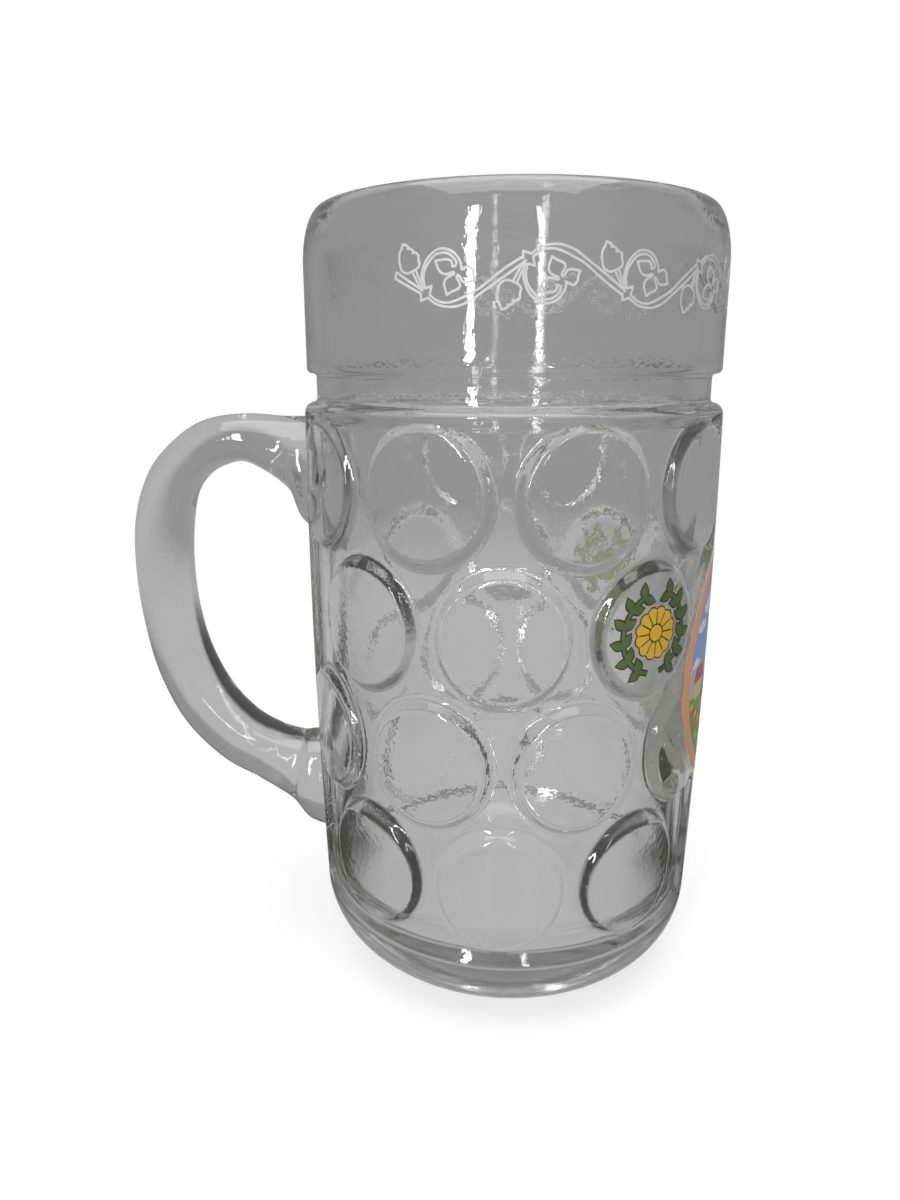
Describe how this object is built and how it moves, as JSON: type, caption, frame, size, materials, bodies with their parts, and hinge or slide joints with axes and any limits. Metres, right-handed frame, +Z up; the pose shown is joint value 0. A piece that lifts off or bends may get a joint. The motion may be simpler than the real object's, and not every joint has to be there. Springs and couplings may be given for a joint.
{
  "type": "glass beer mug",
  "caption": "Tall pressed-glass beer mug with round raised bosses, a plain drawn-in collar, a glass side handle and fired enamel prints; holds about one litre.",
  "frame": {"origin": "middle of the flat base, on the standing plane", "axes": "+Z up along the mug's axis, +X to the printed front, the handle on the -X side"},
  "size_m": [0.1615, 0.109, 0.202],
  "materials": {
    "clear_glass": "fire-polished, clear with a faint grey-green cast",
    "white_enamel": "thin fired enamel, satin",
    "orange_enamel": "thin fired enamel, satin",
    "blue_enamel": "thin fired enamel, satin",
    "grey_enamel": "thin fired enamel, satin",
    "green_enamel": "thin fired enamel, satin",
    "gold_enamel": "thin fired enamel, satin"
  },
  "bodies": {
    "root": {"glass_body": "clear_glass", "handle": "clear_glass", "hop_vine": "white_enamel", "picture_border": "orange_enamel", "picture_sky": "blue_enamel", "picture_mountains": "grey_enamel", "picture_meadow": "green_enamel", "near_emblem_rosette": "gold_enamel", "near_emblem_wreath_left": "green_enamel", "near_emblem_wreath_right": "green_enamel", "far_emblem_rosette": "gold_enamel", "far_emblem_wreath_left": "green_enamel", "far_emblem_wreath_right": "green_enamel"}
  },
  "joints": []
}
